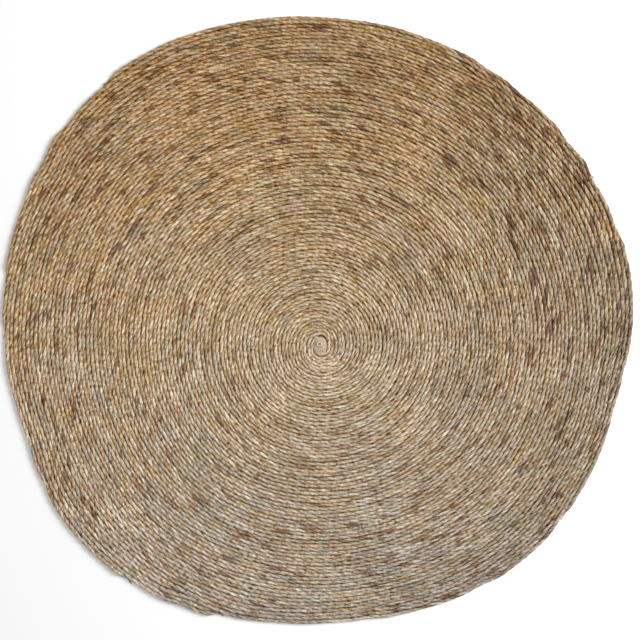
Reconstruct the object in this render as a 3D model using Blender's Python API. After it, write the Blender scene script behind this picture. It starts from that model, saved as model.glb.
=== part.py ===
"""A round seagrass mat: two three-ply ropes laid side by side and coiled out from the middle.

Metres, +Z up. The mat lies face up on z = 0, and its origin is under the middle of its box.
The two ropes, A and B, make a two-start spiral that opens anticlockwise, so that a row lies
two rows further out after each turn. Each row is a rounded rib on the face, and the underside
is flat. The rim steps in by one row where each rope ends, and is otherwise as uneven as in
the mat made by hand.
"""

import math
from collections import namedtuple

import bmesh
import bpy
from mathutils import Vector
from mathutils.geometry import delaunay_2d_cdt

# Sizes
THICKNESS = 0.008
GROOVE_DEPTH = 0.0025
SIDE_HEIGHT = 0.5 * THICKNESS
SIDE_ROUNDING = 0.0018
EYE_DEPTH = 0.0015

# The coil's middle lies a little to the right of the box's middle and well below it
COIL_X = 0.0049
COIL_Y = -0.0501

# The winding
ROPES = 2
TURNS = 39
ROWS = ROPES * TURNS + 1
EYE_ROWS = 0.7
ROPE_A_END_DEG = 129.4
ROPE_B_END_DEG = 250.0

# How far row 79 lies from the coil's middle, by bearing anticlockwise from +X
RimPoint = namedtuple("RimPoint", "bearing_deg reach")
RIM = (
    RimPoint(bearing_deg=0, reach=0.588),
    RimPoint(bearing_deg=8, reach=0.600),
    RimPoint(bearing_deg=20, reach=0.609),
    RimPoint(bearing_deg=45, reach=0.612),
    RimPoint(bearing_deg=70, reach=0.617),
    RimPoint(bearing_deg=90, reach=0.623),
    RimPoint(bearing_deg=105, reach=0.632),
    RimPoint(bearing_deg=118, reach=0.642),
    RimPoint(bearing_deg=135, reach=0.646),
    RimPoint(bearing_deg=150, reach=0.633),
    RimPoint(bearing_deg=165, reach=0.618),
    RimPoint(bearing_deg=180, reach=0.602),
    RimPoint(bearing_deg=197, reach=0.585),
    RimPoint(bearing_deg=210, reach=0.590),
    RimPoint(bearing_deg=224, reach=0.583),
    RimPoint(bearing_deg=240, reach=0.561),
    RimPoint(bearing_deg=256, reach=0.541),
    RimPoint(bearing_deg=270, reach=0.530),
    RimPoint(bearing_deg=282, reach=0.531),
    RimPoint(bearing_deg=300, reach=0.548),
    RimPoint(bearing_deg=316, reach=0.564),
    RimPoint(bearing_deg=330, reach=0.568),
    RimPoint(bearing_deg=352, reach=0.574),
)

# Straight steps in one turn, by how many rows out the turn lies
TurnSteps = namedtuple("TurnSteps", "rows_out steps")
TURN_STEPS = (
    TurnSteps(rows_out=8, steps=12),
    TurnSteps(rows_out=20, steps=18),
    TurnSteps(rows_out=36, steps=26),
    TurnSteps(rows_out=57, steps=34),
    TurnSteps(rows_out=78, steps=40),
    TurnSteps(rows_out=81, steps=100),
)

# Finish
SEAGRASS_COLOUR = (0.47, 0.34, 0.20, 1.0)
SEAGRASS_ROUGHNESS = 0.8

TURN = 2 * math.pi
ROWS_PER_RADIAN = ROPES / TURN

# Angles wound through at the ropes' ends
ROPE_A_END = TURNS * TURN + math.radians(ROPE_A_END_DEG)
ROPE_B_END = TURNS * TURN + math.radians(ROPE_B_END_DEG)

# Crests and grooves of the winding, by how many rows out each lies at angle 0
ROPE_A_INSIDE = 0.0
ROPE_A_CREST = 0.5
ROPE_B_INSIDE = 1.0
ROPE_B_CREST = 1.5
WindingLine = namedtuple("WindingLine", "offset end height tip")

# A step along a line is at least this share of a whole one
SHORTEST_STEP = 0.4

# How the face's points are joined into triangles, seen from above
PLAN_TOLERANCE = 1e-6
ONLY_INSIDE_THE_RIM = 1
CREASE_ANGLE = math.radians(30)


def clear_scene():
    for obj in list(bpy.data.objects):
        bpy.data.objects.remove(obj, do_unlink=True)


def rim_reach(angle):
    """How far row 79 lies from the coil's middle, on a smooth closed curve through the rim's points."""
    bearing = math.degrees(angle) % 360
    index = max(i for i, point in enumerate(RIM) if point.bearing_deg <= bearing)
    before, here = RIM[index - 1], RIM[index]
    there, after = RIM[(index + 1) % len(RIM)], RIM[(index + 2) % len(RIM)]
    lead = (here.bearing_deg - before.bearing_deg) % 360
    span = (there.bearing_deg - here.bearing_deg) % 360
    trail = (after.bearing_deg - there.bearing_deg) % 360
    slope_here = (there.reach - before.reach) * span / (lead + span)
    slope_there = (after.reach - here.reach) * span / (span + trail)
    t = (bearing - here.bearing_deg) / span
    return (
        here.reach * (2 * t**3 - 3 * t**2 + 1)
        + slope_here * (t**3 - 2 * t**2 + t)
        + there.reach * (3 * t**2 - 2 * t**3)
        + slope_there * (t**3 - t**2)
    )


def place(offset, angle, height):
    """A point on the line of the winding that lies this many rows out at angle 0."""
    reach = rim_reach(angle) * (offset + angle * ROWS_PER_RADIAN) / ROWS
    return Vector((COIL_X + reach * math.cos(angle), COIL_Y + reach * math.sin(angle), height))


def winding_angles(offset, start, end):
    """Evenly stepped angles along a line of the winding, with its start and its end."""
    angles = [start]
    while True:
        row = offset + angles[-1] * ROWS_PER_RADIAN
        step = TURN / next(zone.steps for zone in TURN_STEPS if row <= zone.rows_out)
        following = step * (math.floor(angles[-1] / step + SHORTEST_STEP) + 1)
        if following > end - SHORTEST_STEP * step:
            return angles + [end]
        angles.append(following)


def rim_points():
    """The outline, anticlockwise from rope B's end: each rope's last outer edge, then the step in at its end."""
    rope_a_side = winding_angles(ROPE_B_INSIDE, ROPE_B_END - TURN, ROPE_A_END)
    rope_b_side = winding_angles(ROPE_A_INSIDE, ROPE_A_END, ROPE_B_END)
    points = [place(ROPE_B_INSIDE, angle, SIDE_HEIGHT) for angle in rope_a_side]
    rope_a_tip = len(points)
    points.append(place(ROPE_A_CREST, ROPE_A_END, THICKNESS))
    points += [place(ROPE_A_INSIDE, angle, SIDE_HEIGHT) for angle in rope_b_side]
    rope_b_tip = len(points)
    points.append(place(ROPE_B_CREST, ROPE_B_END - TURN, THICKNESS))
    return points, rope_a_tip, rope_b_tip


def face_points_and_lines():
    """The face's points, its rim first, and the lines of crests and grooves as pairs of them."""
    points, rope_a_tip, rope_b_tip = rim_points()
    rim_count = len(points)
    groove_height = THICKNESS - GROOVE_DEPTH
    lines = (
        WindingLine(offset=ROPE_A_INSIDE, end=ROPE_A_END, height=groove_height, tip=rope_a_tip + 1),
        WindingLine(offset=ROPE_A_CREST, end=ROPE_A_END, height=THICKNESS, tip=rope_a_tip),
        WindingLine(offset=ROPE_B_INSIDE, end=ROPE_B_END - TURN, height=groove_height, tip=0),
        WindingLine(offset=ROPE_B_CREST, end=ROPE_B_END - TURN, height=THICKNESS, tip=rope_b_tip),
    )
    edges = []
    for line in lines:
        edge_of_eye = (EYE_ROWS - line.offset) / ROWS_PER_RADIAN
        angles = winding_angles(line.offset, edge_of_eye, line.end)[:-1]
        first = len(points)
        points += [place(line.offset, angle, line.height) for angle in angles]
        edges += [(i, i + 1) for i in range(first, len(points) - 1)]
        edges.append((len(points) - 1, line.tip))
    points.append(Vector((COIL_X, COIL_Y, THICKNESS - EYE_DEPTH)))
    return points, edges, rim_count


def mat_mesh():
    """The ribbed face, the rope's rounded side below it, and the flat underside."""
    points, edges, rim_count = face_points_and_lines()
    plan = [point.to_2d() for point in points]
    rim = list(range(rim_count))
    _, _, triangles, sources, _, _ = delaunay_2d_cdt(plan, edges, [rim], ONLY_INSIDE_THE_RIM, PLAN_TOLERANCE)
    mesh = bmesh.new()
    face_verts = [mesh.verts.new(point) for point in points]
    for triangle in triangles:
        mesh.faces.new([face_verts[sources[corner][0]] for corner in triangle])
    middle = Vector((COIL_X, COIL_Y))
    foot_verts = []
    for point in plan[:rim_count]:
        foot = point - (point - middle).normalized() * SIDE_ROUNDING
        foot_verts.append(mesh.verts.new((foot.x, foot.y, 0.0)))
    for here, there in zip(rim, rim[1:] + rim[:1]):
        mesh.faces.new([face_verts[there], face_verts[here], foot_verts[here], foot_verts[there]])
    mesh.faces.new(foot_verts[::-1])
    bmesh.ops.triangulate(mesh, faces=mesh.faces[:])
    bmesh.ops.recalc_face_normals(mesh, faces=mesh.faces[:])
    return mesh


def seagrass_material():
    material = bpy.data.materials.new("twisted seagrass")
    material.use_nodes = True
    shader = material.node_tree.nodes["Principled BSDF"]
    shader.inputs["Base Color"].default_value = SEAGRASS_COLOUR
    shader.inputs["Roughness"].default_value = SEAGRASS_ROUGHNESS
    shader.inputs["Metallic"].default_value = 0.0
    return material


def build_mat():
    mesh = mat_mesh()
    data = bpy.data.meshes.new("mat")
    mesh.to_mesh(data)
    mesh.free()
    data.shade_smooth()
    data.set_sharp_from_angle(angle=CREASE_ANGLE)
    data.materials.append(seagrass_material())
    bpy.context.collection.objects.link(bpy.data.objects.new("mat", data))


clear_scene()
build_mat()
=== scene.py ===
"""The looks of a round seagrass mat, laid out as an add-on and run as a script.

Two three-ply ropes, A and B, lie side by side and are coiled out from the middle, anticlockwise,
so that a row lies two rows further out after each turn. The rows are rounder than the rim: where
the rim swings out, short lengths of the same rope are laid in and fill it. Leaves stand a little
off the ropes, and fray at each end of a rope.
"""

import math
import random
from collections import namedtuple

import bmesh
import bpy
from bpy.props import FloatProperty, FloatVectorProperty, IntProperty, PointerProperty
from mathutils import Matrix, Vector, noise


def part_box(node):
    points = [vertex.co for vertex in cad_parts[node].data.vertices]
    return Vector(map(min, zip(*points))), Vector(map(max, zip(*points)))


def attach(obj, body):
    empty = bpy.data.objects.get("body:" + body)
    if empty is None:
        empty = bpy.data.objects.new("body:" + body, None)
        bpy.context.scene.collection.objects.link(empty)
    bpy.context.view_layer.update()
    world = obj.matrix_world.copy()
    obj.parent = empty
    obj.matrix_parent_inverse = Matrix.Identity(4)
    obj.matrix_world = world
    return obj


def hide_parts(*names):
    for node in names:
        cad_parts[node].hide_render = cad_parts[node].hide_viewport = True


bl_info = {
    "name": "Round Seagrass Mat",
    "version": (1, 0, 0),
    "blender": (4, 5, 0),
    "location": "3D View > Sidebar > Seagrass Mat",
    "description": "Winds a round floor mat from two twisted seagrass ropes",
    "category": "Add Mesh",
}

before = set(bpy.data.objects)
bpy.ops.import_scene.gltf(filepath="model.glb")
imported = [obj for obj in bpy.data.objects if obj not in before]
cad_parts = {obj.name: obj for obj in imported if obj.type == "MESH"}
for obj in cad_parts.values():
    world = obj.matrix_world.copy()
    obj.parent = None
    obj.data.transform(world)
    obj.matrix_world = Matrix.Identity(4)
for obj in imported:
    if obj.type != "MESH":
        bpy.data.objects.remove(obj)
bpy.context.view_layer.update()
MAT_LOW, MAT_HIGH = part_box("mat")

TURN = 2 * math.pi
UP = Vector((0.0, 0.0, 1.0))
ROOT = "root"
MAT_NODE = "mat"
ROPE_TREE = "Three-ply rope"
LEAF_TREE = "Loose leaves"
ROPE_MATERIAL = "twisted seagrass"
LEAF_MATERIAL = "loose leaf"

# The coil's middle lies a little to the right of the box's middle and well below it
COIL_MIDDLE = Vector((0.0049, -0.0501, 0.0))

# The solid's winding, by the ends of its two ropes
ROPES = 2
TURNS = 39
ROWS = ROPES * TURNS + 1
ROPE_A_END_DEG = 129.4
ROPE_B_END_DEG = 250.0

# How far the solid's row 79 lies from the coil's middle, by bearing anticlockwise from +X
RimPoint = namedtuple("RimPoint", "bearing_deg reach")
RIM = tuple(RimPoint(*values) for values in (
    (0, 0.588), (8, 0.600), (20, 0.609), (45, 0.612), (70, 0.617), (90, 0.623), (105, 0.632), (118, 0.642),
    (135, 0.646), (150, 0.633), (165, 0.618), (180, 0.602), (197, 0.585), (210, 0.590), (224, 0.583),
    (240, 0.561), (256, 0.541), (270, 0.530), (282, 0.531), (300, 0.548), (316, 0.564), (330, 0.568),
    (352, 0.574),
))

# The two ropes: the rows out at angle 0 of the line that each follows, and where it starts and ends
RopeLine = namedtuple("RopeLine", "name number offset start_deg turns end_deg")
ROPE_LINES = (
    RopeLine(name="rope_a", number=0, offset=0.5, start_deg=240, turns=38, end_deg=231),
    RopeLine(name="rope_b", number=1, offset=1.5, start_deg=60, turns=37, end_deg=250),
)

# Short lengths that fill the rim, anticlockwise, from the innermost to the outermost: where each starts
# and ends, and how many of the last rows lie outside it
ShortLength = namedtuple("ShortLength", "start_deg end_deg rows_outside")
SHORT_LENGTHS = tuple(ShortLength(*values) for values in (
    (282, 240, 3), (53.8, 145, 3), (306, 248, 2), (350, 205, 1), (60.7, 152, 1), (325, 21.2, 0),
    (32.2, 178, 0), (40.7, 129.4, 0), (139.2, 168, 0),
))
OPENING_HALF_DEG = 3.0

# How the rows turn from round at the middle to the rim's own shape
RIM_SHAPE_SHARE = 0.5
SOFT_SHAPE_HALF_DEG = 30
EDGE_SHAPE_POWER = 4
CLOSER_ROWS = 1.6
CLOSER_ROWS_FADE = 12
EYE_FADE_ROWS = 6
EYE_SHARPNESS = 3
MOST_ROWS = 1.5 * ROWS
ROWS_CLOSE_ENOUGH = 1e-4

# Over how many rows and degrees the last rows swell or draw in to the outline
SWELL_ROWS = 12
SWELL_HALF_DEG = 4

# Steps along a rope, and how its ends narrow
STEPS_IN_A_LAY = 10
WIDEST_STEP_DEG = 12
TIP_LENGTH = 0.030
TIP_GIRTH = 0.4

# Slow unevenness of a rope: its wander sideways and up, its girth and its twist
Wander = namedtuple("Wander", "amount length seed")
SIDEWAYS = Wander(amount=0.0006, length=0.08, seed=3.1)
UPWARDS = Wander(amount=0.0006, length=0.07, seed=8.4)
GIRTH = Wander(amount=0.12, length=0.09, seed=14.7)
TWIST = Wander(amount=0.16, length=0.30, seed=21.9)

# A rope's surface: its lumps, and how flat it lies
LUMP_LENGTH = 0.009
FLATNESS = 0.92

# A rope's top and bottom are pressed flatter than round: 1 leaves them round
PILLOW = 1.4

# The least that a point's distance and height from its rope's middle are divided by
SHORTEST_SPOKE = 1e-6
LEAST_RISE = 1e-3

# A three-ply section has a crest every third of a turn, and its points catch each valley
STRANDS = 3
SECTION_POINTS = 15
SECTION_PHASE = math.radians(12)
THIRD = TURN / STRANDS

# A strand's colour changes on the rope's underside, a quarter turn past the section's own start
UNDERSIDE_TURN = 0.25 + SECTION_PHASE / TURN

# A leaf's own shape: its sides, and its sections, bend and rise as shares of its length and width
LEAF_SIDES = 4
LEAF_SECTIONS = ((-0.28, 0.38), (0.0, 0.5), (0.28, 0.38))
LEAF_BEND = 0.03
LEAF_RISE = 0.012

# How leaves lie on a rope: their roll and skew, and lengths, widths and depths as shares of the mean
LEAF_ROLL_DEG = 32
LEAF_SKEW_DEG = 9
LEAF_LIFT = 0.0001
LEAF_LENGTHS = (0.6, 1.5)
LEAF_WIDTHS = (0.7, 1.4)
LEAF_DEPTHS = (0.86, 1.0)

# How they stick out of a rope's end, across and up as shares of its tip's radius
FRAY_SPREAD_DEG = 28
FRAY_DIP_DEG = 10
FRAY_LENGTHS = (0.5, 1.2)
FRAY_ACROSS = (-0.6, 0.6)
FRAY_UP = (-0.5, 0.6)
FRAY_OUT = 0.3

# The eye: its dome's rings and their shades, and where the ring and the fan lie from the coil's middle
EYE_RINGS = (0.3, 0.6, 0.8, 0.92, 1.0)
# The outermost two rings are rust and brown: painted shade in the gap to the first row
EYE_SHADES = (0.45, 0.45, 0.42, 0.35, 0.12, 0.0)
EYE_SEGMENTS = 32
EYE_EDGE_HEIGHT = 0.45
EYE_RING_AT = (-0.0025, 0.0044)
EYE_RING_SQUASH = 0.85
EYE_RING_LIFT = 0.0016
EYE_RING_SHADE = 0.8
EYE_NUMBER = len(ROPE_LINES) + len(SHORT_LENGTHS)
EYE_FAN_AT = (0.0008, 0.0008)
EYE_FAN_BEARING = math.radians(-76)
EYE_FAN_SPREAD = math.radians(42)
FAN_LENGTHS = (0.9, 1.2)
FAN_LIFTS = (0.0003, 0.0014)
FAN_WIDTH = 1.8
FAN_SHADES = (0.1, 0.95)

# The mat's tone at its near and far sides, at its middle and rim, and in cooler and warmer patches
NEAR_TONE = (0.980, 1.050, 1.24, 1.0)
FAR_TONE = (0.908, 0.825, 0.705, 1.0)
MIDDLE_TONE = (0.985, 1.016, 1.042, 1.0)
RIM_TONE = (1.0, 1.010, 1.034, 1.0)
COOL_TONE = (0.97, 1.0, 1.04, 1.0)
WARM_TONE = (1.04, 1.0, 0.93, 1.0)

# The change towards the far side stops short of the rim. Places are shares of the mat's half width
FAR_LIMIT = 0.8
PATCH_SIZE = 0.22
WARMTH_EASTWARDS = -0.24

# Painted light at the mat's middle, and how it dims outwards and towards +X; and how the mat's lightness
# changes from patch to patch
MIDDLE_LIGHT = 1.088
LIGHT_OUTWARDS = -0.197
LIGHT_EASTWARDS = -0.235
PATCH_LIGHT = 0.52

# The share of strands that are brown at the middle, and how it rises outwards and towards the upper right
BROWN_AT_MIDDLE = 0.012
BROWN_OUTWARDS = 0.050
BROWN_SIDEWAYS = 0.060
BROWN_SIDE = Vector((math.cos(math.radians(50)), math.sin(math.radians(50)), 0.0))
BROWN_BAND_REACH = 0.72

# How far a leaf's own noise shifts its colour, and its chance of being brown
HUE_CHANGE = 0.5
BROWN_CHANGE = 0.45

# Lengths over which colour and light change: from leaf to leaf, along fibres, where rows part, in flecks
LEAF_RUN = 0.014
FIBRE_RUN = 0.006
PARTING_RUN = 0.012
BATCH_RUN = 0.16
FLECK_SIZE = 0.0068
LEAF_GRAIN_SIZE = 1 / 450
LEAF_COARSENESS = 0.6
FIBRE_COARSENESS = 0.7

# How far apart neighbours lie in noise, so that each strand, crossing and rope has its own
STRANDS_APART = 7.0
ACROSS_APART = 1.5
FIBRES_ACROSS = 0.9
CROSSINGS_APART = 13.0
WANDERS_APART = 5.3
LUMPS_APART = 37.0
LUMPS_ROUND = 1.4
PARTINGS_APART = 17.0
PARTING_SEED = 4.0
BATCHES_APART = 29.0
BATCH_SEED = 9.0

# Light bounces from leaf to leaf, so hollows are warmer: how much faster red, green and blue fall off there
CHANNEL_FALLS = (-0.32, -0.08, 0.58)
WARM_BELOW = 0.85
BRIGHTEST = 1.08

# Ranges that noise or a distance is carried from, and the light or share that it is carried to
Spread = namedtuple("Spread", "low high to_low to_high")
PRESSED = Spread(0.3, 0.6, 1.0, 0.0)
GROOVE = Spread(0.44, 0.74, 1.0, 0.0)
GROOVE_DIM = Spread(0.35, 1.0, 0.40, 0.92)
VALLEY_DIM = Spread(0.76, 1.0, 0.0, 0.66)
PARTING_DIM = Spread(0.52, 0.64, 0.0, 0.90)
HOLLOW_DEPTH = Spread(0.0, 1.0, 1.12, 1.46)
HOLLOW_WARMTH = Spread(0.0, 1.0, 0.62, 1.75)
TOWARDS_FAR_SIDE = Spread(-1.0, FAR_LIMIT, 0.0, (1 + FAR_LIMIT) / 2)
PATCH_WARMTH = Spread(0.3, 0.7, 0.0, 1.0)
FIBRE_LIGHT = Spread(0.25, 0.75, 0.54, 1.31)
# Painted highlights and shade in flecks
FLECK_LIGHT = Spread(0.3, 0.7, 0.60, 1.30)
BATCH_LIGHT = Spread(0.3, 0.7, 0.83, 1.17)
BEAD_LIGHT = Spread(0.0, 1.0, 0.83, 1.15)
LEAF_LIGHT = Spread(0.3, 0.7, 0.60, 1.02)
BROWNER = Spread(-0.02, 0.03, 0.0, 0.9)
BROWN_BAND = Spread(0.0, 0.05, 0.06, 0.0)
BROWN_BAND_SIDES = Spread(-0.3, 0.2, 0.0, 1.0)
ALIKE_NEAR_MIDDLE = Spread(0.0, 0.6, 0.5, 0.0)
FIBRE_ROUGHNESS = Spread(0.3, 0.7, 0.5, 0.75)

# Finish
ROPE_SPECULAR = 0.2
FIBRE_BUMP = 0.6
FIBRE_BUMP_HEIGHT = 0.0008
LEAF_ROUGHNESS = 0.6

# Where each leaf colour lies on the ramps of strands and of loose leaves
STRAND_STOPS = (
    (0.00, "rust"), (0.02, "rust"), (0.08, "golden"), (0.24, "golden"), (0.34, "straw"),
    (0.58, "straw"), (0.68, "pink"), (0.80, "green"), (0.90, "straw"), (1.00, "pale"),
)
LEAF_STOPS = (
    (0.00, "brown"), (0.12, "rust"), (0.25, "golden"), (0.50, "straw"), (0.70, "green"),
    (0.85, "pale"), (1.00, "pale"),
)

# The stage
FLOOR_HALF = 4.0
FLOOR_DROP = 0.0003
FLOOR_ROUGHNESS = 0.9
WHITE = (1.0, 1.0, 1.0, 1.0)
LAMP_PLACE = Vector((2.1, 0.6, 1.9))
LAMP_SIZE = 1.6
CAMERA_X = 0.0038


def length_property(name, description, default, least):
    return FloatProperty(
        name=name, description=description, default=default, min=least, unit="LENGTH", subtype="DISTANCE"
    )


def colour_property(name, description, default):
    return FloatVectorProperty(
        name=name, description=description, subtype="COLOR", size=4, min=0, max=1, default=(*default, 1.0)
    )


class RopeSettings(bpy.types.PropertyGroup):
    """The ropes' own sizes"""

    width: length_property("Rope width", "Across a rope, over the crests of its strands", 0.0086, 0.002)
    lay: length_property("Lay", "Length of rope in which a strand goes once round it", 0.056, 0.01)
    valley_depth: FloatProperty(
        name="Valley depth", description="Depth between two strands, as a share of the rope's radius",
        default=0.32, min=0.0, max=0.6, subtype="FACTOR",
    )
    fullness: FloatProperty(
        name="Strand fullness", description="How flat a strand's crest is, and how steep its sides",
        default=2.2, min=1.0, max=8.0,
    )
    unevenness: length_property(
        "Strand unevenness", "How far a strand's surface swells and dips", 0.0009, 0.0
    )


class WindingSettings(bpy.types.PropertyGroup):
    """How the ropes are coiled"""

    pitch: length_property("Row pitch", "From one row of rope to the next", 0.00745, 0.002)
    eye_reach: length_property("Eye reach", "How far the coil's middle is drawn out along Y", 0.0076, 0.0)


class EyeSettings(bpy.types.PropertyGroup):
    """The folded ends that fill the coil's middle"""

    width: length_property("Eye width", "Across the oval middle, along X", 0.0300, 0.005)
    depth: length_property("Eye depth", "Across the oval middle, along Y", 0.0410, 0.005)
    height: length_property("Eye height", "From the floor to the top of the cushion", 0.0062, 0.001)
    ring_width: length_property("Ring width", "Across the small ring of rope, between middles", 0.0085, 0.001)
    ring_girth: FloatProperty(
        name="Ring girth", description="The small ring's thickness as a share of the rope's",
        default=0.42, min=0.1, max=1.0, subtype="FACTOR",
    )
    fan: IntProperty(name="Fan", description="Number of leaves spread out below the ring", default=16, min=0)


class LeafSettings(bpy.types.PropertyGroup):
    """The leaves that stand off the ropes"""

    count: IntProperty(name="Leaves", description="Number of loose leaves on the face", default=2600, min=0)
    length: length_property("Leaf length", "Mean length of a loose leaf", 0.011, 0.001)
    width: length_property("Leaf width", "Width of a loose leaf at its middle", 0.0013, 0.0002)
    fray: IntProperty(name="Fray", description="Number of leaves at each end of a rope", default=8, min=0)
    seed: IntProperty(name="Seed", description="Number that the leaves' places are drawn from", default=5)


class ColourSettings(bpy.types.PropertyGroup):
    """The colours of the dried leaves"""

    brown: colour_property("Brown", "Darkest leaves", (0.162, 0.093, 0.062))
    rust: colour_property("Rust", "Red-brown leaves", (0.228, 0.114, 0.069))
    golden: colour_property("Golden", "Yellow leaves", (0.522, 0.378, 0.222))
    straw: colour_property("Straw", "Most of the leaves", (0.562, 0.449, 0.328))
    pink: colour_property("Pink beige", "Pinkish leaves", (0.530, 0.374, 0.313))
    green: colour_property("Grey green", "Leaves dried green", (0.384, 0.362, 0.266))
    pale: colour_property("Pale", "Lightest leaves", (0.636, 0.579, 0.438))


class StageSettings(bpy.types.PropertyGroup):
    """Floor, light and camera"""

    floor: colour_property("Floor", "Colour of the floor", (0.90, 0.90, 0.90))
    sky: FloatProperty(name="Sky", description="Strength of the light from all round", default=0.65, min=0.0)
    lamp: FloatProperty(
        name="Lamp", description="Power of the wide lamp above the mat", default=90.0, min=0.0, unit="POWER",
    )
    camera_height: length_property("Camera height", "From the floor up to the camera", 3.0, 0.5)
    view_width: length_property("View width", "Width of floor that the camera sees", 1.219, 0.1)


def rim_reach(angle):
    """How far row 79 lies from the coil's middle, on a smooth closed curve through the rim's points."""
    bearing = math.degrees(angle) % 360
    index = max(i for i, point in enumerate(RIM) if point.bearing_deg <= bearing)
    before, here = RIM[index - 1], RIM[index]
    there, after = RIM[(index + 1) % len(RIM)], RIM[(index + 2) % len(RIM)]
    lead = (here.bearing_deg - before.bearing_deg) % 360
    span = (there.bearing_deg - here.bearing_deg) % 360
    trail = (after.bearing_deg - there.bearing_deg) % 360
    slope_here = (there.reach - before.reach) * span / (lead + span)
    slope_there = (after.reach - here.reach) * span / (span + trail)
    t = (bearing - here.bearing_deg) / span
    return (
        here.reach * (2 * t**3 - 3 * t**2 + 1)
        + slope_here * (t**3 - 2 * t**2 + t)
        + there.reach * (3 * t**2 - 2 * t**3)
        + slope_there * (t**3 - t**2)
    )


def solid_rows(bearing):
    """How many of the solid's rows lie inside its rim at a bearing: one fewer past each rope's end."""
    past_end = (bearing - ROPE_B_END_DEG) % 360
    rows = ROPES * (TURNS - 1 + ROPE_B_END_DEG / 360) + 1 + past_end * ROPES / 360
    return rows - 1 if past_end >= (ROPE_A_END_DEG - ROPE_B_END_DEG) % 360 else rows


def smooth_step(value):
    value = min(max(value, 0.0), 1.0)
    return value * value * (3 - 2 * value)


def around(table, bearing):
    """A value read from a table with one entry for each degree, at any bearing."""
    whole = math.floor(bearing)
    share = bearing - whole
    return table[whole % 360] * (1 - share) + table[(whole + 1) % 360] * share


def averaged(table, half):
    """The same table with each entry averaged over its neighbours to both sides."""
    span = range(-half, half + 1)
    return [sum(table[(i + k) % 360] for k in span) / len(span) for i in range(360)]


class Coil:
    """Where the rows of the coil lie, from round at the middle to the rim's own shape."""

    def __init__(self, winding):
        self.pitch = winding.pitch
        self.eye_reach = winding.eye_reach
        rim = [rim_reach(math.radians(deg)) for deg in range(360)]
        mean = sum(rim) / len(rim)
        self.shape = [reach / mean - 1 for reach in rim]
        self.soft_shape = averaged(self.shape, SOFT_SHAPE_HALF_DEG)
        outline = [reach * solid_rows(deg) / ROWS for deg, reach in enumerate(rim)]
        self.fitting = [self.rows_inside(reach, deg) for deg, reach in enumerate(outline)]
        swell = [rows / self.rows_laid(deg) for deg, rows in enumerate(self.fitting)]
        self.swell = averaged(swell, SWELL_HALF_DEG)

    def plain_reach(self, rows, bearing):
        """How far out this many rows lie at a bearing, before the last ones swell to the rim."""
        closer = CLOSER_ROWS * (1 - math.exp(-rows / CLOSER_ROWS_FADE))
        soft = around(self.soft_shape, bearing)
        edge = (around(self.shape, bearing) - soft) * (rows / ROWS) ** EDGE_SHAPE_POWER
        return self.pitch * (rows - closer) * (1 + RIM_SHAPE_SHARE * (soft + edge))

    def rows_inside(self, reach, bearing):
        """How many rows fit within this reach at a bearing."""
        low, high = 0.0, MOST_ROWS
        while high - low > ROWS_CLOSE_ENOUGH:
            middle = (low + high) / 2
            low, high = (middle, high) if self.plain_reach(middle, bearing) < reach else (low, middle)
        return low

    def rows_laid(self, bearing):
        """How many rows are laid at a bearing: those of the two ropes, and the short lengths there."""
        return last_wound_row(bearing) + sum(
            opening(short, bearing, 0.0 if short.rows_outside == 0 else OPENING_HALF_DEG)
            for short in SHORT_LENGTHS
        )

    def reach(self, rows, bearing):
        rows_left = around(self.fitting, bearing) - rows
        swell = (around(self.swell, bearing) - 1) * smooth_step(1 - rows_left / SWELL_ROWS)
        return self.plain_reach(rows, bearing) * (1 + swell)

    def place(self, rows, bearing):
        """A point of the coil, from its middle."""
        angle = math.radians(bearing)
        reach = self.reach(rows, bearing)
        lift = self.eye_reach * math.exp(-rows / EYE_FADE_ROWS) * math.tanh(EYE_SHARPNESS * math.sin(angle))
        return Vector((reach * math.cos(angle), reach * math.sin(angle) + lift, 0.0))

    def row_width(self, rows, bearing):
        """How wide a row is there, as a share of the pitch."""
        return (self.reach(rows + 0.5, bearing) - self.reach(max(rows - 0.5, 0.0), bearing)) / self.pitch


ROWS_PER_DEGREE = ROPES / 360
LAST_END_DEG = ROPE_LINES[1].end_deg
FIRST_END_DEG = ROPE_LINES[0].end_deg


def since_last_end(bearing):
    """Degrees anticlockwise from where the last rope ends."""
    return (bearing - LAST_END_DEG) % 360


def wound_row(bearing):
    """The outer edge of the last row of the two ropes, as if neither ended in the last turn."""
    last = ROPE_LINES[1]
    degrees = 360 * last.turns + last.end_deg + since_last_end(bearing)
    return last.offset - 0.5 + ROWS_PER_DEGREE * degrees


def last_wound_row(bearing):
    """The outer edge of the last row of the two ropes, one row less past the first one's end."""
    past = since_last_end(bearing) >= since_last_end(FIRST_END_DEG)
    return wound_row(bearing) - (1 if past else 0)


def opening(short, bearing, half):
    """How far a short length has parted the rows beside it, from 0 to 1, opening round its ends."""
    since = since_last_end(bearing)
    inside = min(since - since_last_end(short.start_deg), since_last_end(short.end_deg) - since)
    return smooth_step((inside + half) / (2 * half)) if half else float(inside >= 0)


def parted(rows, bearing):
    """Where a row of the two ropes lies once the short lengths inside it are laid."""
    return rows + sum(
        opening(short, bearing, OPENING_HALF_DEG)
        for short in SHORT_LENGTHS
        if rows > wound_row(bearing) - short.rows_outside
    )


def drift(wander, along, number):
    """Slow noise along a rope, from about -1 to 1 times the wander's amount."""
    place = Vector((along / wander.length, wander.seed, WANDERS_APART * number))
    return 2 * wander.amount * noise.noise(place)


def right_of(heading):
    """The level direction on a heading's right."""
    return Vector((heading.y, -heading.x, 0.0))


RopePoint = namedtuple("RopePoint", "place heading along turns girth free number")


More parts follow.
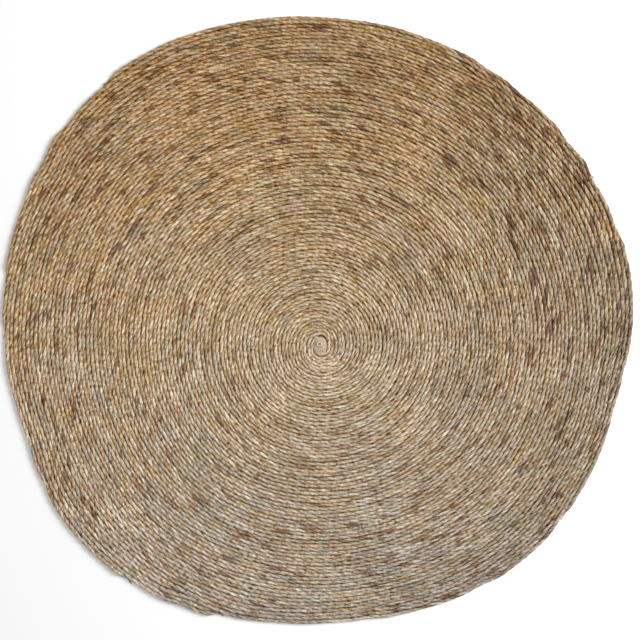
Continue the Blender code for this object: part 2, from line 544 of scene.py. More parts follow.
def rope_points(coil, rope, number, start, end, row_at):
    """Points along a rope from one bearing to another, both in degrees that go on past 360."""
    step = rope.lay / STEPS_IN_A_LAY
    points = []
    along, unwound, before = 0.0, start, None
    while unwound <= end:
        bearing = unwound % 360
        rows = row_at(unwound)
        place = coil.place(rows, bearing)
        if before is not None:
            along += (place - before).length
            heading = (place - before).normalized()
        else:
            heading = (coil.place(row_at(unwound + 1), (unwound + 1) % 360) - place).normalized()
        before = place
        sideways = right_of(heading) * drift(SIDEWAYS, along, number)
        height = MAT_LOW.z + FLATNESS * rope.width / 2 + abs(drift(UPWARDS, along, number))
        points.append(RopePoint(
            place=COIL_MIDDLE + place + sideways + UP * height,
            heading=heading,
            along=along,
            turns=along / rope.lay + drift(TWIST, along, number),
            girth=coil.row_width(rows, bearing) * (1 + drift(GIRTH, along, number)),
            free=float(coil.rows_laid(bearing) - rows < 1),
            number=float(number),
        ))
        unwound += min(math.degrees(step / max(place.length, step)), WIDEST_STEP_DEG)
    first, last = points[0].along, along
    return [narrowed(point, min(point.along - first, last - point.along), rope) for point in points]


def narrowed(point, from_tip, rope):
    """The same point with the rope thinner near its end, on the floor and close to the row inside it."""
    share = TIP_GIRTH + (1 - TIP_GIRTH) * smooth_step(from_tip / TIP_LENGTH)
    lost = (1 - share) * rope.width / 2
    shift = Vector((-point.heading.y, point.heading.x, -FLATNESS)) * lost
    return point._replace(girth=point.girth * share, place=point.place + shift)


def wound_rope(line, coil, rope):
    """One of the two ropes, from the eye to its end at the rim."""
    def row_at(unwound):
        return parted(line.offset + unwound * ROWS_PER_DEGREE, unwound % 360)

    return rope_points(coil, rope, line.number, line.start_deg, 360 * line.turns + line.end_deg, row_at)


def short_rope(index, coil, rope):
    """One of the short lengths at the rim."""
    short = SHORT_LENGTHS[index]
    inside = SHORT_LENGTHS[:index]

    def row_at(unwound):
        bearing = unwound % 360
        row = wound_row(bearing) - short.rows_outside + 0.5
        return row + sum(opening(other, bearing, OPENING_HALF_DEG) for other in inside)

    end = short.start_deg + (short.end_deg - short.start_deg) % 360
    number = len(ROPE_LINES) + index
    return rope_points(coil, rope, number, short.start_deg, end, row_at)


def short_ropes(coil, rope):
    return [short_rope(index, coil, rope) for index in range(len(SHORT_LENGTHS))]


class Wire:
    """A node's output. Arithmetic on it adds Math nodes, or Vector Math nodes for a vector or colour."""

    def __init__(self, tree, socket):
        self.tree = tree
        self.socket = socket
        self.is_vector = socket.type in ("VECTOR", "RGBA")

    def calc(self, operation, *others):
        kind = "ShaderNodeVectorMath" if self.is_vector else "ShaderNodeMath"
        gives_vector = self.is_vector and operation not in ("DOT_PRODUCT", "LENGTH")
        made = add(self.tree, kind, dict(enumerate((self, *others))), operation=operation)
        return made["Vector" if gives_vector else "Value"]

    def __add__(self, other):
        return self.calc("ADD", other)

    def __sub__(self, other):
        return self.calc("SUBTRACT", other)

    def __rsub__(self, number):
        return add(self.tree, "ShaderNodeMath", {0: number, 1: self}, operation="SUBTRACT")["Value"]

    def __mul__(self, other):
        """A product, which is a scaled vector where this is a vector and the other a number."""
        if self.is_vector and not getattr(other, "is_vector", False):
            inputs = {0: self, "Scale": other}
            return add(self.tree, "ShaderNodeVectorMath", inputs, operation="SCALE")["Vector"]
        return self.calc("MULTIPLY", other)

    def __truediv__(self, other):
        return self.calc("DIVIDE", other)

    def __pow__(self, other):
        return self.calc("POWER", other)

    def __abs__(self):
        return self.calc("ABSOLUTE")

    def at_most(self, limit):
        return self.calc("MINIMUM", limit)

    def at_least(self, limit):
        return self.calc("MAXIMUM", limit)

    def xyz(self):
        """Its three parts."""
        parts = add(self.tree, "ShaderNodeSeparateXYZ", {"Vector": self})
        return parts["X"], parts["Y"], parts["Z"]

    def ranged(self, spread, smooth=False):
        """The value carried from a spread's one range to its other, and kept inside that."""
        return add(self.tree, "ShaderNodeMapRange", {
            "Value": self, "From Min": spread.low, "From Max": spread.high,
            "To Min": spread.to_low, "To Max": spread.to_high,
        }, interpolation_type="SMOOTHSTEP" if smooth else "LINEAR")["Result"]


class Outputs:
    """A node's outputs, read by name as wires."""

    def __init__(self, tree, node):
        self.tree = tree
        self.node = node

    def __getitem__(self, name):
        return Wire(self.tree, self.node.outputs[name])


def join(tree, socket, value):
    """Give a node's input a plain value, or join a wire to it."""
    if isinstance(value, Wire):
        tree.links.new(value.socket, socket)
    else:
        socket.default_value = value


def add(tree, kind, inputs=None, **settings):
    """The outputs of a new node with its settings, each input given a value or a wire."""
    node = tree.nodes.new(kind)
    for name, value in settings.items():
        setattr(node, name, value)
    for name, value in (inputs or {}).items():
        join(tree, node.inputs[name], value)
    return Outputs(tree, node)


def vector(tree, x, y, z):
    """A vector joined from three wires or numbers."""
    return add(tree, "ShaderNodeCombineXYZ", {"X": x, "Y": y, "Z": z})["Vector"]


def noise_at(place, scale=1.0, detail=2.0, roughness=0.5):
    """The outputs of a Noise Texture at a place."""
    return add(place.tree, "ShaderNodeTexNoise", {
        "Vector": place, "Scale": scale, "Detail": detail, "Roughness": roughness,
    })


def named(tree, name, data_type="FLOAT"):
    """An attribute of the geometry, by name."""
    return add(tree, "GeometryNodeInputNamedAttribute", {"Name": name}, data_type=data_type)["Attribute"]


def stored(geometry, name, value):
    """The same geometry with a value kept on its points."""
    return add(
        geometry.tree, "GeometryNodeStoreNamedAttribute",
        {"Geometry": geometry, "Name": name, "Value": value},
        data_type="FLOAT_VECTOR" if value.is_vector else "FLOAT", domain="POINT",
    )["Geometry"]


def moved(geometry, **where):
    """The same geometry with its points set to a Position or shifted by an Offset."""
    return add(geometry.tree, "GeometryNodeSetPosition", {"Geometry": geometry, **where})["Geometry"]


def new_geometry_tree(name, sockets):
    """An empty tree with a geometry input and output and named inputs, and its inputs' wires."""
    tree = bpy.data.node_groups.new(name, "GeometryNodeTree")
    tree.interface.new_socket("Geometry", in_out="OUTPUT", socket_type="NodeSocketGeometry")
    for socket, kind in (("Geometry", "Geometry"), *sockets):
        tree.interface.new_socket(socket, in_out="INPUT", socket_type="NodeSocket" + kind)
    return tree, add(tree, "NodeGroupInput")


def finish_geometry_tree(geometry, material):
    """The last nodes of each tree: real geometry, its material, and the output."""
    tree = geometry.tree
    real = add(tree, "GeometryNodeRealizeInstances", {"Geometry": geometry})["Geometry"]
    painted = add(tree, "GeometryNodeSetMaterial", {"Geometry": real, "Material": material})
    add(tree, "NodeGroupOutput", {"Geometry": painted["Geometry"]})


def rope_profile(tree, sizes):
    """A three-ply section as a closed curve, which carries the direction of each point from its middle."""
    circle = add(tree, "GeometryNodeCurvePrimitiveCircle", {"Resolution": SECTION_POINTS, "Radius": 1.0})
    position = add(tree, "GeometryNodeInputPosition")["Position"]
    x, y, _ = position.xyz()
    angle = y.calc("ARCTAN2", x) + SECTION_PHASE
    from_crest = abs(angle.calc("WRAP", THIRD / 2, -THIRD / 2))
    dip = (from_crest / (THIRD / 2)) ** sizes["Fullness"]
    reach = (1.0 - dip * sizes["Valley depth"]) * (sizes["Rope width"] * 0.5)
    direction = vector(tree, angle.calc("COSINE"), angle.calc("SINE"), 0.0)
    return moved(stored(circle["Curve"], "section", direction), Position=position * reach)


def rope_tree():
    """Twists a three-ply section along each line of points, and presses the ropes together at their sides."""
    tree, sizes = new_geometry_tree(ROPE_TREE, (
        ("Rope width", "Float"), ("Valley depth", "Float"), ("Fullness", "Float"),
        ("Unevenness", "Float"), ("Coil middle", "Vector"), ("Material", "Material"),
    ))
    curve = add(tree, "GeometryNodeMeshToCurve", {"Mesh": sizes["Geometry"]})["Curve"]
    level = add(tree, "GeometryNodeSetCurveNormal", {"Curve": curve}, mode="Z_UP")["Curve"]
    tilt = named(tree, "turns") * TURN
    twisted = add(tree, "GeometryNodeSetCurveTilt", {"Curve": level, "Tilt": tilt})["Curve"]
    position = add(tree, "GeometryNodeInputPosition")["Position"]
    swept = add(tree, "GeometryNodeCurveToMesh", {
        "Curve": stored(twisted, "middle", position),
        "Profile Curve": rope_profile(tree, sizes),
        "Scale": named(tree, "girth"),
        "Fill Caps": True,
    })["Mesh"]
    pressed, groove = pressed_sides(swept, position, sizes)
    uneven = lumpy(stored(pressed, "groove", groove), sizes)
    resting = rested(uneven, position)
    smooth = add(tree, "GeometryNodeSetShadeSmooth", {"Geometry": resting, "Shade Smooth": True})
    finish_geometry_tree(smooth["Geometry"], sizes["Material"])
    return tree


def pressed_sides(mesh, position, sizes):
    """The ropes with their sides filled out where they meet, and how deep in a groove each point lies."""
    tree = mesh.tree
    middle = named(tree, "middle", "FLOAT_VECTOR")
    spoke = position - middle
    outward = spoke.calc("DOT_PRODUCT", middle - sizes["Coil middle"])
    enclosed = 1.0 - named(tree, "free") * outward.calc("GREATER_THAN", 0.0)
    radius = sizes["Rope width"] * 0.5 * named(tree, "girth")
    _, _, height = spoke.xyz()
    rise = abs(height) / radius
    full = radius / spoke.calc("LENGTH").at_least(SHORTEST_SPOKE)
    low = enclosed * rise.ranged(PRESSED, smooth=True)
    wider = (full - 1.0).calc("MULTIPLY_ADD", low, 1.0)
    pillow = 1.0 - (1.0 - rise.at_most(1.0)) ** PILLOW
    flatter = pillow / rise.at_least(LEAST_RISE) * FLATNESS
    pressed = moved(mesh, Position=middle + spoke * wider * vector(tree, 1.0, 1.0, flatter))
    return pressed, enclosed * rise.ranged(GROOVE)


def lumpy(mesh, sizes):
    """The mesh with each strand swelling and dipping along its length."""
    tree = mesh.tree
    shift = named(tree, "number") * LUMPS_APART
    along = named(tree, "along").calc("MULTIPLY_ADD", 1 / LUMP_LENGTH, shift)
    place = named(tree, "section", "FLOAT_VECTOR") * LUMPS_ROUND + vector(tree, 0.0, 0.0, along)
    push = (noise_at(place, detail=1.0)["Fac"] - 0.5) * (sizes["Unevenness"] * 2.0)
    return moved(mesh, Offset=add(tree, "GeometryNodeInputNormal")["Normal"] * push)


def rested(mesh, position):
    """The mesh pressed flat where it would reach below the floor."""
    x, y, z = position.xyz()
    return moved(mesh, Position=vector(mesh.tree, x, y, z.at_least(MAT_LOW.z)))


def leaf_tree():
    """Lays one leaf on each point, along its heading and facing up its normal."""
    tree, sizes = new_geometry_tree(LEAF_TREE, (("Leaf", "Object"), ("Material", "Material")))
    leaf = add(tree, "GeometryNodeObjectInfo", {"Object": sizes["Leaf"]}, transform_space="ORIGINAL")
    turned = add(tree, "FunctionNodeAxesToRotation", {
        "Primary Axis": named(tree, "facing", "FLOAT_VECTOR"),
        "Secondary Axis": named(tree, "heading", "FLOAT_VECTOR"),
    }, primary_axis="Z", secondary_axis="X")
    placed = add(tree, "GeometryNodeInstanceOnPoints", {
        "Points": sizes["Geometry"],
        "Instance": leaf["Geometry"],
        "Rotation": turned["Rotation"],
        "Scale": named(tree, "size", "FLOAT_VECTOR"),
    })
    finish_geometry_tree(placed["Instances"], sizes["Material"])
    return tree


def new_mesh(name, places, edges, faces):
    mesh = bpy.data.meshes.new(name)
    mesh.from_pydata(places, edges, faces)
    return mesh


def label_points(mesh, label, values):
    """Keep a number for each of the mesh's points as an attribute."""
    mesh.attributes.new(label, "FLOAT", "POINT").data.foreach_set("value", values)


def points_mesh(name, points, edges, labels):
    """A mesh of points and edges, with some of the points' fields as attributes."""
    mesh = new_mesh(name + "_points", [point.place for point in points], edges, [])
    for label in labels:
        values = [getattr(point, label) for point in points]
        if label in VECTOR_FIELDS:
            flat = [number for value in values for number in value]
            mesh.attributes.new(label, "FLOAT_VECTOR", "POINT").data.foreach_set("vector", flat)
        else:
            label_points(mesh, label, values)
    return mesh


def linked(name, data):
    """A new object of the scene with this mesh, light or camera."""
    made = bpy.data.objects.new(name, data)
    bpy.context.collection.objects.link(made)
    return made


def grown(name, mesh, tree, inputs):
    """The plain mesh object that a tree makes from a mesh, with the tree's inputs set by identifier."""
    seed = linked(name + "_points", mesh)
    modifier = seed.modifiers.new("Growth", "NODES")
    modifier.node_group = tree
    for item in tree.interface.items_tree:
        if item.item_type == "SOCKET" and item.in_out == "INPUT" and item.name in inputs:
            modifier[item.identifier] = inputs[item.name]
    seed.update_tag()
    depsgraph = bpy.context.evaluated_depsgraph_get()
    result = bpy.data.meshes.new_from_object(seed.evaluated_get(depsgraph), depsgraph=depsgraph)
    result.name = name
    bpy.data.objects.remove(seed, do_unlink=True)
    bpy.data.meshes.remove(mesh)
    return linked(name, result)


def fitted(piece):
    """The piece riding on the mat's body in place of its solid."""
    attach(piece, ROOT)
    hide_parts(MAT_NODE)
    return piece


def new_material(name):
    material = bpy.data.materials.new(name)
    material.use_nodes = True
    return material, material.node_tree, material.node_tree.nodes["Principled BSDF"].inputs


def attribute_of(tree, name, output="Fac"):
    """An attribute of the surface, by name."""
    return add(tree, "ShaderNodeAttribute", attribute_name=name, attribute_type="GEOMETRY")[output]


def channels(colour):
    """A colour's outputs Red, Green and Blue."""
    return add(colour.tree, "ShaderNodeSeparateColor", {"Color": colour})


def colour_ramp(factor, stops, colours):
    """A colour ramp with stops given as positions and names of the leaves' colours."""
    made = add(factor.tree, "ShaderNodeValToRGB", {"Fac": factor})
    elements = made.node.color_ramp.elements
    while len(elements) > 1:
        elements.remove(elements[-1])
    elements[0].position = stops[0][0]
    elements[0].color = getattr(colours, stops[0][1])
    for position, name in stops[1:]:
        elements.new(position).color = getattr(colours, name)
    return made["Color"]


def mixed(factor, a, b):
    """Two colours mixed by a factor."""
    tree = factor.tree
    node = tree.nodes.new("ShaderNodeMix")
    node.data_type = "RGBA"
    sockets = {socket.identifier: socket for socket in (*node.inputs, *node.outputs)}
    for identifier, value in (("Factor_Float", factor), ("A_Color", a), ("B_Color", b)):
        join(tree, sockets[identifier], value)
    return Wire(tree, sockets["Result_Color"])


def rope_material(colours):
    """Dried leaves twisted into strands: each strand changes colour where it dips under the rope."""
    material, tree, shader = new_material(ROPE_MATERIAL)
    x, y, _ = attribute_of(tree, "section", "Vector").xyz()
    angle = y.calc("ARCTAN2", x)
    strand = (angle / THIRD).calc("ROUND")
    across = (angle - strand * THIRD) / (THIRD / 2)
    wound = angle.calc("MULTIPLY_ADD", 1 / TURN, attribute_of(tree, "turns"))
    crossing = (wound - UNDERSIDE_TURN).calc("FLOOR")
    number = attribute_of(tree, "number")
    along = attribute_of(tree, "along")
    side = strand.calc("MULTIPLY_ADD", STRANDS_APART, across * ACROSS_APART)

    fibre_place = vector(tree, along / FIBRE_RUN, side * FIBRES_ACROSS, crossing)
    fibres = noise_at(fibre_place, roughness=FIBRE_COARSENESS)["Fac"]
    leaf_seed = crossing.calc("MULTIPLY_ADD", CROSSINGS_APART, number)
    leaf_place = vector(tree, along / LEAF_RUN, side, leaf_seed)
    leaves = noise_at(leaf_place, roughness=LEAF_COARSENESS)["Fac"]
    hue = strand_colour(colours, vector(tree, strand, crossing, number), leaves)
    light = fibres.ranged(FIBRE_LIGHT) * painted_fleck_light(tree) * batch_light(along, number)
    # Painted shade in the valleys between strands, in the grooves between rows and where rows part
    light = light * (hollow_light(across) * gap_light(along, number))
    join(tree, shader["Base Color"], hue * warm_hollows(light) * tone_and_painted_light(tree))
    join(tree, shader["Roughness"], fibres.ranged(FIBRE_ROUGHNESS))
    bump = add(tree, "ShaderNodeBump", {
        "Height": fibres, "Strength": FIBRE_BUMP, "Distance": FIBRE_BUMP_HEIGHT,
    })
    join(tree, shader["Normal"], bump["Normal"])
    shader["Specular IOR Level"].default_value = ROPE_SPECULAR
    return material


def painted_fleck_light(tree):
    """Painted highlights and shade in flecks, which stand in for leaves that stand up and leaves that part,
    whichever way the strands run.
    """
    where = add(tree, "ShaderNodeTexCoord")["Object"]
    return noise_at(where, scale=1 / FLECK_SIZE)["Fac"].ranged(FLECK_LIGHT)


def batch_light(along, number):
    """A rope's shade, which changes slowly as new bundles of leaves are laid in."""
    place = vector(along.tree, along / BATCH_RUN, number * BATCHES_APART, BATCH_SEED)
    return noise_at(place)["Fac"].ranged(BATCH_LIGHT)


def strand_colour(colours, bead, leaves):
    """A colour for each visible stretch of a strand, browner where the mat is."""
    tree = bead.tree
    drawn = add(tree, "ShaderNodeTexWhiteNoise", {"Vector": bead}, noise_dimensions="3D")
    chance = channels(drawn["Color"])
    change = leaves - 0.5
    hue = colour_ramp(change.calc("MULTIPLY_ADD", HUE_CHANGE, drawn["Value"]), STRAND_STOPS, colours)
    browner = brown_share(tree) - change.calc("MULTIPLY_ADD", BROWN_CHANGE, chance["Green"])
    hue = mixed(browner.ranged(BROWNER), hue, colours.brown)
    _, far = from_middle(tree)
    hue = mixed(far.ranged(ALIKE_NEAR_MIDDLE), hue, colours.straw)
    return hue * chance["Blue"].ranged(BEAD_LIGHT)


def from_middle(tree):
    """The place from the coil's middle, and how far out it is, as shares of the mat's half width."""
    where = add(tree, "ShaderNodeTexCoord")["Object"]
    level = (where - COIL_MIDDLE).calc("MULTIPLY", (1.0, 1.0, 0.0))
    share = level * (1 / MAT_HIGH.x)
    return share, share.calc("LENGTH")


def brown_share(tree):
    """The share of strands that are brown: more outwards, at the upper right and in a band near the rim."""
    share, far = from_middle(tree)
    _, north, _ = share.xyz()
    rising = far.calc("MULTIPLY_ADD", BROWN_OUTWARDS, BROWN_AT_MIDDLE)
    total = share.calc("DOT_PRODUCT", BROWN_SIDE).calc("MULTIPLY_ADD", BROWN_SIDEWAYS, rising)
    from_band = abs(far - BROWN_BAND_REACH)
    return total + from_band.ranged(BROWN_BAND, smooth=True) * north.ranged(BROWN_BAND_SIDES)


def tone_and_painted_light(tree):
    """A slow change over the mat: warmer and darker at the far side, greyer and lighter at the near, times
    painted light that dims outwards and towards +X, and a lightness that changes from patch to patch.
    """
    share, far = from_middle(tree)
    east, north, _ = share.xyz()
    outwards = far * far
    patches = noise_at(share, scale=1 / PATCH_SIZE)
    warmth = channels(patches["Color"])["Green"].ranged(PATCH_WARMTH)
    warmer = east.calc("MULTIPLY_ADD", WARMTH_EASTWARDS, warmth)
    tone = mixed(north.ranged(TOWARDS_FAR_SIDE), NEAR_TONE, FAR_TONE)
    tone = tone * mixed(outwards, MIDDLE_TONE, RIM_TONE) * mixed(warmer, COOL_TONE, WARM_TONE)
    # Painted light: darker outwards and towards +X
    light = outwards.calc("MULTIPLY_ADD", LIGHT_OUTWARDS, MIDDLE_LIGHT)
    light = east.calc("MULTIPLY_ADD", LIGHT_EASTWARDS, light)
    light = (patches["Fac"] - 0.5).calc("MULTIPLY_ADD", PATCH_LIGHT, light)
    return tone * light


def warm_hollows(light):
    """Grey light as a colour, warmer where it is dim, and more so towards the mat's far side."""
    share, _ = from_middle(light.tree)
    _, north, _ = share.xyz()
    towards = north.ranged(TOWARDS_FAR_SIDE)
    deeper = (light ** towards.ranged(HOLLOW_DEPTH)).at_most(BRIGHTEST)
    dim = (deeper / WARM_BELOW).at_most(1.0)
    warmth = towards.ranged(HOLLOW_WARMTH)
    return vector(light.tree, *(deeper * dim ** (warmth * fall) for fall in CHANNEL_FALLS))


def hollow_light(across):
    """How much light reaches the valleys between strands and the grooves between rows."""
    from_crest = abs(across)
    lost = attribute_of(across.tree, "groove") * from_crest.ranged(GROOVE_DIM, smooth=True)
    return 1.0 - lost.at_least(from_crest.ranged(VALLEY_DIM, smooth=True))


def gap_light(along, number):
    """How much light reaches a groove where the rows part a little for some way."""
    tree = along.tree
    place = vector(tree, along / PARTING_RUN, number * PARTINGS_APART, PARTING_SEED)
    lost = noise_at(place, detail=1.0)["Fac"].ranged(PARTING_DIM, smooth=True)
    return 1.0 - lost * attribute_of(tree, "groove").calc("SQRT")


def leaf_material(colours):
    """A single dried leaf, with its own shade."""
    material, tree, shader = new_material(LEAF_MATERIAL)
    where = add(tree, "ShaderNodeTexCoord")["Object"]
    light = noise_at(where, scale=1 / LEAF_GRAIN_SIZE, detail=3.0)["Fac"].ranged(LEAF_LIGHT)
    leaf = colour_ramp(attribute_of(tree, "shade"), LEAF_STOPS, colours)
    join(tree, shader["Base Color"], leaf * light)
    shader["Roughness"].default_value = LEAF_ROUGHNESS
    return material


def shared_material(name):
    make = {ROPE_MATERIAL: rope_material, LEAF_MATERIAL: leaf_material}[name]
    return bpy.data.materials.get(name) or make(bpy.context.scene.mat_colours)


def rope_piece(name, lengths, rope, material=ROPE_MATERIAL):
    """One piece of rope: the lengths in it swept as a mesh that rides on the mat's body."""
    points, edges = [], []
    for length in lengths:
        first = len(points)
        points += length
        edges += [(i, i + 1) for i in range(first, len(points) - 1)]
    mesh = points_mesh(name, points, edges, ("along", "turns", "girth", "free", "number"))
    return fitted(grown(name, mesh, bpy.data.node_groups.get(ROPE_TREE) or rope_tree(), {
        "Rope width": rope.width,
        "Valley depth": rope.valley_depth,
        "Fullness": rope.fullness,
        "Unevenness": rope.unevenness,
        "Coil middle": COIL_MIDDLE,
        "Material": shared_material(material),
    }))


class MAT_OT_wind_ropes(bpy.types.Operator):
    """Wind the mat's two ropes, each in an inner and an outer piece, and lay the short lengths at the rim"""

    bl_idname = "mat.wind_ropes"
    bl_label = "Wind ropes"

    def execute(self, context):
        rope, coil = context.scene.mat_rope, Coil(context.scene.mat_winding)
        for line in ROPE_LINES:
            points = wound_rope(line, coil, rope)
            half = len(points) // 2
            rope_piece(line.name + "_inner", [points[:half + 1]], rope)
            rope_piece(line.name + "_outer", [points[half:]], rope)
        shorts = short_ropes(coil, rope)
        rope_piece("rim_lengths", shorts, rope)
        return {"FINISHED"}


def ring_faces(rings, count):
    """Faces from a first point out over rings of points, each ring with this many."""
    after = [(k + 1) % count for k in range(count)]
    faces = [(0, 1 + k, 1 + after[k]) for k in range(count)]
    for inner in range(1, 1 + (rings - 1) * count, count):
        outer = inner + count
        faces += [(inner + k, outer + k, outer + after[k], inner + after[k]) for k in range(count)]
    return faces


def leaf_object():
    """One leaf a metre long and wide, pointed at both ends, closed, and bent down towards its tips."""
    places = [(-0.5, 0.0, -LEAF_BEND)]
    for x, half in LEAF_SECTIONS:
        bend = -LEAF_BEND * 4 * x * x
        places += [(x, half, bend), (x, 0.0, bend + LEAF_RISE), (x, -half, bend), (x, 0.0, bend - LEAF_RISE)]
    places.append((0.5, 0.0, -LEAF_BEND))
    last = len(places) - 1
    ring = last - LEAF_SIDES
    faces = ring_faces(len(LEAF_SECTIONS), LEAF_SIDES)
    faces += [(last, ring + (k + 1) % LEAF_SIDES, ring + k) for k in range(LEAF_SIDES)]
    mesh = new_mesh("leaf", places, [], faces)
    outwards = bmesh.new()
    outwards.from_mesh(mesh)
    bmesh.ops.recalc_face_normals(outwards, faces=outwards.faces[:])
    outwards.to_mesh(mesh)
    outwards.free()
    return linked("leaf", mesh)


LeafPoint = namedtuple("LeafPoint", "place facing heading size shade")
VECTOR_FIELDS = ("facing", "heading", "size")


def swing(draw, most_deg):
    """A random angle of at most this many degrees to either side."""
    return math.radians(draw.uniform(-most_deg, most_deg))


def leaf_on_rope(point, rope, leaves, draw):
    """A leaf that lies on a strand near the top of the rope, a little askew."""
    outward = right_of(point.heading)
    roll = swing(draw, LEAF_ROLL_DEG)
    facing = outward * math.sin(roll) + UP * math.cos(roll)
    sideways = outward * math.cos(roll) - UP * math.sin(roll)
    skew = swing(draw, LEAF_SKEW_DEG)
    slope = math.atan(math.pi * rope.width / rope.lay) + skew
    heading = point.heading * math.cos(slope) + sideways * math.sin(slope)
    length = leaves.length * draw.uniform(*LEAF_LENGTHS)
    width = leaves.width * draw.uniform(*LEAF_WIDTHS)
    reach = point.girth * rope.width / 2 * draw.uniform(*LEAF_DEPTHS) + LEAF_LIFT
    place = point.place + Vector((facing.x, facing.y, facing.z * FLATNESS)) * reach
    return LeafPoint(place, facing, heading, Vector((length, width, length)), draw.random())


def leaf_at_tip(point, outward_heading, rope, leaves, draw):
    """A leaf that sticks out of a rope's cut end."""
    side = right_of(outward_heading)
    spread = swing(draw, FRAY_SPREAD_DEG)
    dip = swing(draw, FRAY_DIP_DEG)
    level = outward_heading * math.cos(spread) + side * math.sin(spread)
    heading = level * math.cos(dip) + UP * math.sin(dip)
    facing = UP - heading * heading.z
    length = leaves.length * draw.uniform(*FRAY_LENGTHS)
    across = draw.uniform(*FRAY_ACROSS) * TIP_GIRTH * rope.width / 2
    up = draw.uniform(*FRAY_UP) * TIP_GIRTH * rope.width / 2
    place = point.place + side * across + UP * up + heading * length * FRAY_OUT
    size = Vector((length, leaves.width, length))
    return LeafPoint(place, facing.normalized(), heading, size, draw.random())


def leaf_piece(name, leaf_points):
    """One object with a leaf on each of the given points."""
    mesh = points_mesh(name, leaf_points, [], (*VECTOR_FIELDS, "shade"))
    leaf = leaf_object()
    piece = grown(name, mesh, bpy.data.node_groups.get(LEAF_TREE) or leaf_tree(), {
        "Leaf": leaf,
        "Material": shared_material(LEAF_MATERIAL),
    })
    bpy.data.objects.remove(leaf, do_unlink=True)
    return fitted(piece)


def eye_cushion(eye):
    """A low closed oval dome of folded ends, with painted shade where it dips to the first row."""
    places = [(0.0, 0.0, eye.height)]
    shades = [EYE_SHADES[0]]
    for share, shade in zip(EYE_RINGS, EYE_SHADES[1:]):
        height = eye.height * (EYE_EDGE_HEIGHT + (1 - EYE_EDGE_HEIGHT) * math.sqrt(1 - share * share))
        for k in range(EYE_SEGMENTS):
            angle = TURN * k / EYE_SEGMENTS
            east, north = share * eye.width / 2 * math.cos(angle), share * eye.depth / 2 * math.sin(angle)
            places.append((east, north, height))
            shades.append(shade)
    faces = ring_faces(len(EYE_RINGS), EYE_SEGMENTS)
    faces.append(tuple(len(places) - 1 - k for k in range(EYE_SEGMENTS)))
    mesh = new_mesh("eye_cushion", [COIL_MIDDLE + Vector(place) for place in places], [], faces)
    label_points(mesh, "shade", shades)
    mesh.shade_smooth()
    mesh.materials.append(shared_material(LEAF_MATERIAL))
    return fitted(linked("eye_cushion", mesh))


def eye_ring(eye):
    """The small ring's points, once round."""
    middle = COIL_MIDDLE + Vector((*EYE_RING_AT, eye.height + EYE_RING_LIFT))
    half = eye.ring_width / 2
    length = TURN * half
    points = []
    for k in range(EYE_SEGMENTS + 1):
        angle = TURN * k / EYE_SEGMENTS
        place = middle + Vector((half * math.cos(angle), EYE_RING_SQUASH * half * math.sin(angle), 0.0))
        heading = Vector((-math.sin(angle), math.cos(angle), 0.0))
        turns = k / EYE_SEGMENTS
        points.append(RopePoint(
            place=place, heading=heading, along=turns * length, turns=turns, girth=eye.ring_girth,
            free=0.0, number=float(EYE_NUMBER),
        ))
    return points


def eye_fan(eye, leaves, draw):
    """Leaves that spread out below the ring."""
    points = []
    for k in range(eye.fan):
        bearing = EYE_FAN_BEARING + EYE_FAN_SPREAD * (2 * k / max(eye.fan - 1, 1) - 1)
        heading = Vector((math.cos(bearing), math.sin(bearing), 0.0))
        length = leaves.length * draw.uniform(*FAN_LENGTHS)
        root = COIL_MIDDLE + Vector((*EYE_FAN_AT, eye.height + draw.uniform(*FAN_LIFTS)))
        size = Vector((length, FAN_WIDTH * leaves.width, length))
        place = root + heading * length / 2
        points.append(LeafPoint(place, UP, heading, size, draw.uniform(*FAN_SHADES)))
    return points


class MAT_OT_fill_eye(bpy.types.Operator):
    """Fill the coil's middle with a cushion of folded ends, a small ring of rope and a fan of leaves"""

    bl_idname = "mat.fill_eye"
    bl_label = "Fill eye"

    def execute(self, context):
        rope, eye, leaves = context.scene.mat_rope, context.scene.mat_eye, context.scene.mat_leaves
        eye_cushion(eye)
        ring = rope_piece("eye_ring", [eye_ring(eye)], rope, LEAF_MATERIAL)
        label_points(ring.data, "shade", [EYE_RING_SHADE] * len(ring.data.vertices))
        leaf_piece("eye_fan", eye_fan(eye, leaves, random.Random(leaves.seed)))
        return {"FINISHED"}


class MAT_OT_scatter_leaves(bpy.types.Operator):
    """Lay loose leaves on the ropes, and fray the ropes' ends"""

    bl_idname = "mat.scatter_leaves"
    bl_label = "Scatter leaves"

    def execute(self, context):
        rope, leaves = context.scene.mat_rope, context.scene.mat_leaves
        coil = Coil(context.scene.mat_winding)
        draw = random.Random(leaves.seed)
        ropes = [wound_rope(line, coil, rope) for line in ROPE_LINES]
        everywhere = [point for points in ropes for point in points]
        loose = [leaf_on_rope(point, rope, leaves, draw) for point in draw.sample(everywhere, leaves.count)]
        leaf_piece("loose_leaves", loose)
        shorts = short_ropes(coil, rope)
        tips = [(points[-1], points[-1].heading) for points in ropes + shorts]
        tips += [(points[0], -points[0].heading) for points in shorts]
        frayed = [
            leaf_at_tip(point, heading, rope, leaves, draw)
            for point, heading in tips
            for _ in range(leaves.fray)
        ]
        leaf_piece("frayed_ends", frayed)
        return {"FINISHED"}


class MAT_OT_set_stage(bpy.types.Operator):
    """Lay the floor and set the light and the camera straight above the mat"""

    bl_idname = "mat.set_stage"
    bl_label = "Set stage"

    def execute(self, context):
        stage = context.scene.mat_stage
        set_floor(stage)
        set_light(context.scene, stage)
        set_camera(context.scene, stage)
        return {"FINISHED"}


def set_floor(stage):
    corners = [(x * FLOOR_HALF, y * FLOOR_HALF, -FLOOR_DROP) for x, y in ((-1, -1), (1, -1), (1, 1), (-1, 1))]
    mesh = new_mesh("floor", corners, [], [(0, 1, 2, 3)])
    material, _, shader = new_material("pale floor")
    shader["Base Color"].default_value = stage.floor
    shader["Roughness"].default_value = FLOOR_ROUGHNESS
    shader["Specular IOR Level"].default_value = 0.0
    mesh.materials.append(material)
    linked("floor", mesh)


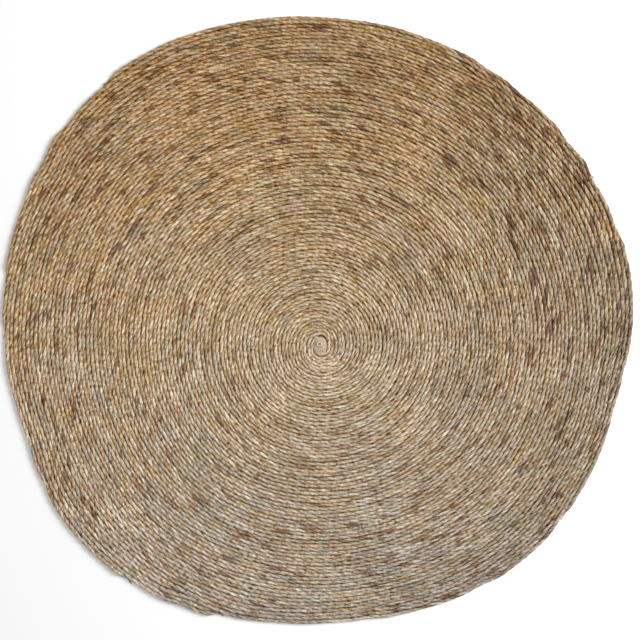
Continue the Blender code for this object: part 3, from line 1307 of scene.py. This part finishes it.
def set_light(scene, stage):
    world = bpy.data.worlds.new("studio")
    world.use_nodes = True
    background = world.node_tree.nodes["Background"].inputs
    background["Color"].default_value = WHITE
    background["Strength"].default_value = stage.sky
    scene.world = world
    lamp = bpy.data.lights.new("lamp", "AREA")
    lamp.shape = "DISK"
    lamp.size = LAMP_SIZE
    lamp.energy = stage.lamp
    above = linked("lamp", lamp)
    above.location = LAMP_PLACE
    above.rotation_euler = (-LAMP_PLACE).to_track_quat("-Z", "Y").to_euler()
    scene.view_settings.view_transform = "Standard"


def set_camera(scene, stage):
    data = bpy.data.cameras.new("camera")
    data.angle = 2 * math.atan(stage.view_width / 2 / stage.camera_height)
    camera = linked("camera", data)
    camera.location = (CAMERA_X, 0.0, stage.camera_height)
    scene.camera = camera


class MAT_PT_sidebar(bpy.types.Panel):
    """The mat's settings and the operators that build it"""

    bl_idname = "MAT_PT_sidebar"
    bl_label = "Seagrass Mat"
    bl_space_type = "VIEW_3D"
    bl_region_type = "UI"
    bl_category = "Seagrass Mat"

    def draw(self, context):
        layout = self.layout
        for name in GROUPS:
            box = layout.box()
            group = getattr(context.scene, name)
            for setting in group.bl_rna.properties:
                if setting.identifier not in ("rna_type", "name"):
                    box.prop(group, setting.identifier)
        for operator in OPERATORS:
            layout.operator(operator.bl_idname)


GROUPS = {
    "mat_rope": RopeSettings,
    "mat_winding": WindingSettings,
    "mat_eye": EyeSettings,
    "mat_leaves": LeafSettings,
    "mat_colours": ColourSettings,
    "mat_stage": StageSettings,
}
OPERATORS = (MAT_OT_wind_ropes, MAT_OT_fill_eye, MAT_OT_scatter_leaves, MAT_OT_set_stage)


def register():
    for cls in (*GROUPS.values(), *OPERATORS, MAT_PT_sidebar):
        bpy.utils.register_class(cls)
    for name, group in GROUPS.items():
        setattr(bpy.types.Scene, name, PointerProperty(type=group))


def unregister():
    for name in GROUPS:
        delattr(bpy.types.Scene, name)
    for cls in (MAT_PT_sidebar, *OPERATORS, *GROUPS.values()):
        bpy.utils.unregister_class(cls)


def main():
    register()
    bpy.ops.mat.wind_ropes()
    bpy.ops.mat.fill_eye()
    bpy.ops.mat.scatter_leaves()
    bpy.ops.mat.set_stage()


if __name__ == "__main__":
    main()
